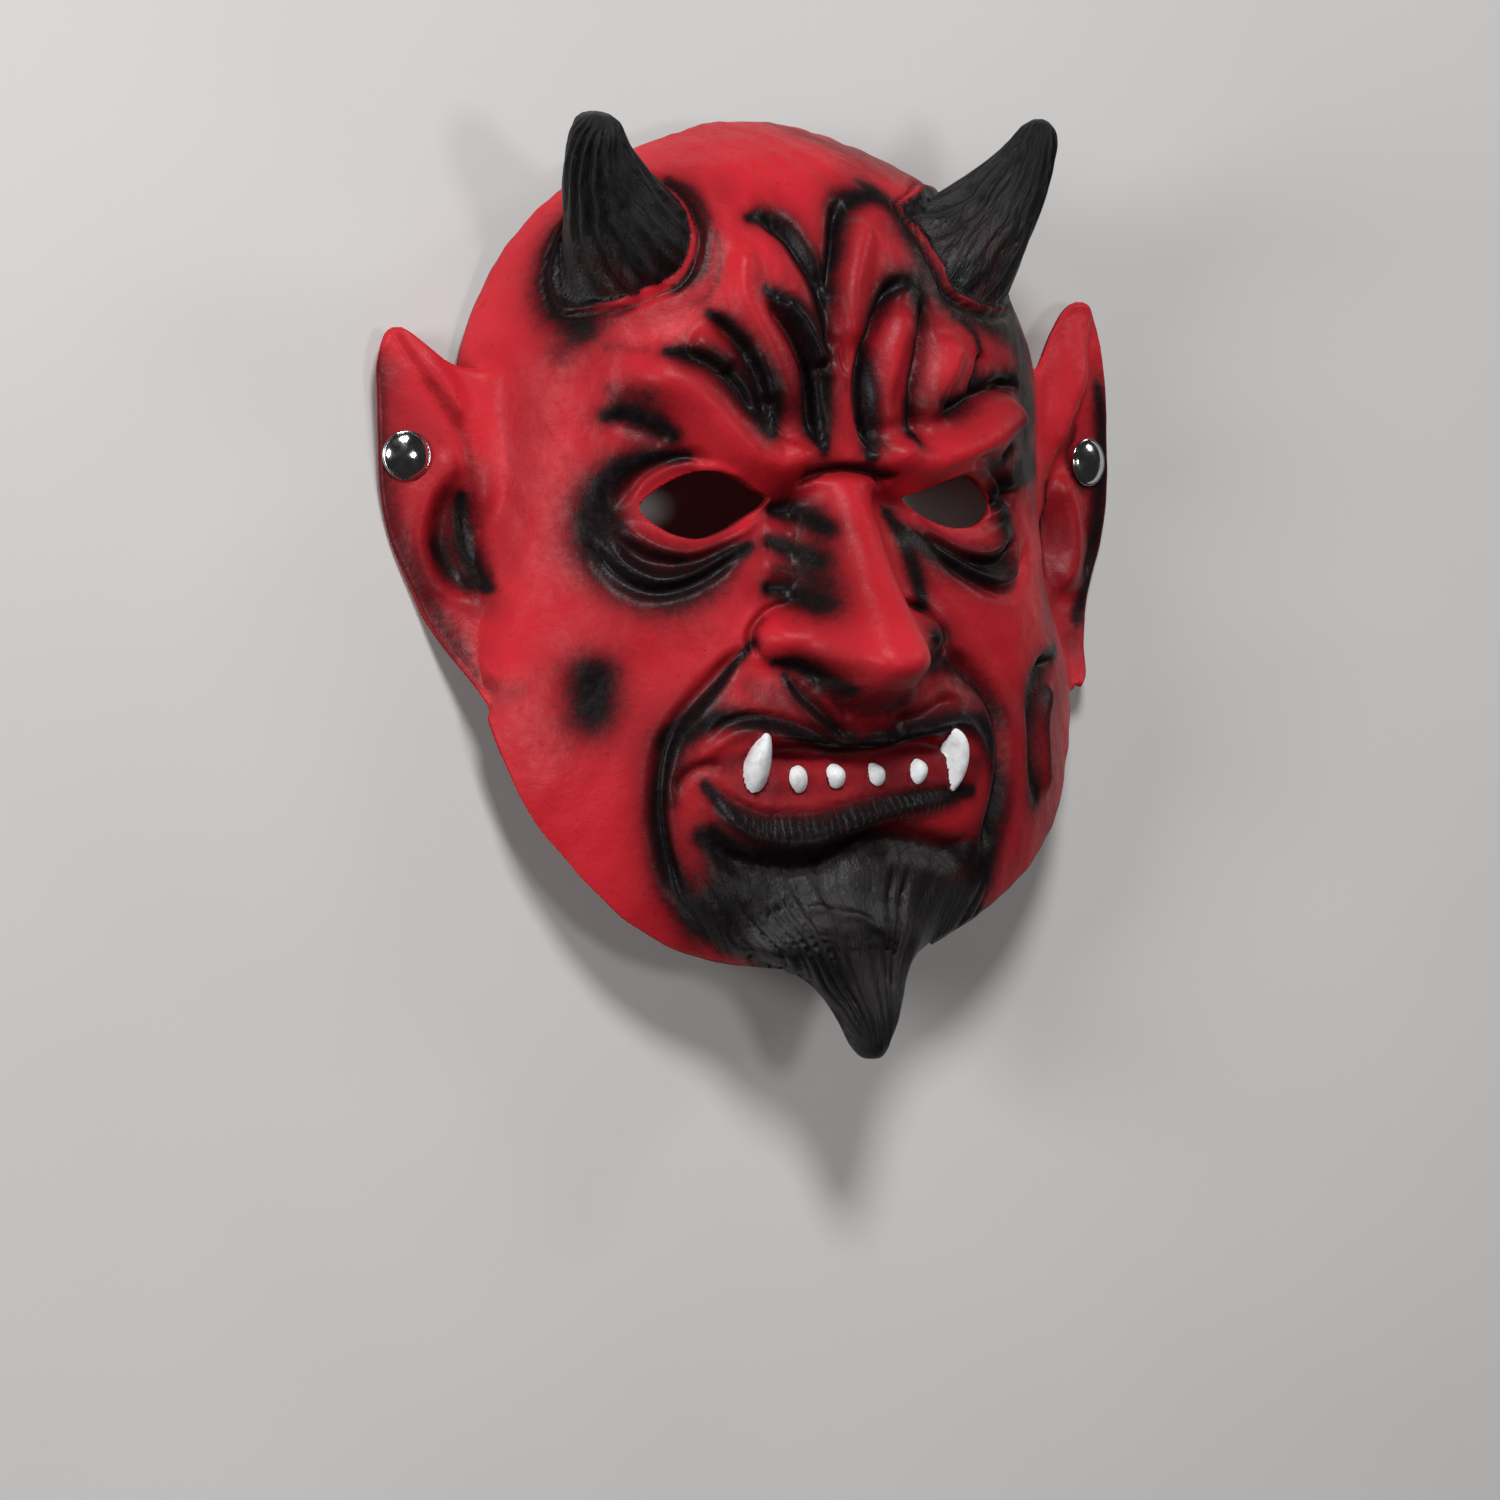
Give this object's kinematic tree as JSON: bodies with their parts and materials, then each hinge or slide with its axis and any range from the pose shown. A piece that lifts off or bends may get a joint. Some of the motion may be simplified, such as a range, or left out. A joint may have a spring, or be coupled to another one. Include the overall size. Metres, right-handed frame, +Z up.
{
  "type": "devil mask",
  "caption": "Moulded latex devil face mask with horns, pointed ears, bared fangs and a goatee, and a metal press stud on each ear to hold a head strap.",
  "frame": {"origin": "middle of the footprint of the mask lying on its back, on the surface it lies on", "axes": "+Z up, the way the face looks; +Y towards the horns; +X towards the mask's own left ear"},
  "size_m": [0.2656, 0.3012, 0.0907],
  "materials": {
    "latex": "satin painted latex, red with airbrushed black",
    "stud_metal": "polished"
  },
  "bodies": {
    "root": {"latex_mask": "latex", "snap_cap_left": "stud_metal", "snap_cap_right": "stud_metal", "snap_socket_left": "stud_metal", "snap_socket_right": "stud_metal"}
  },
  "joints": []
}
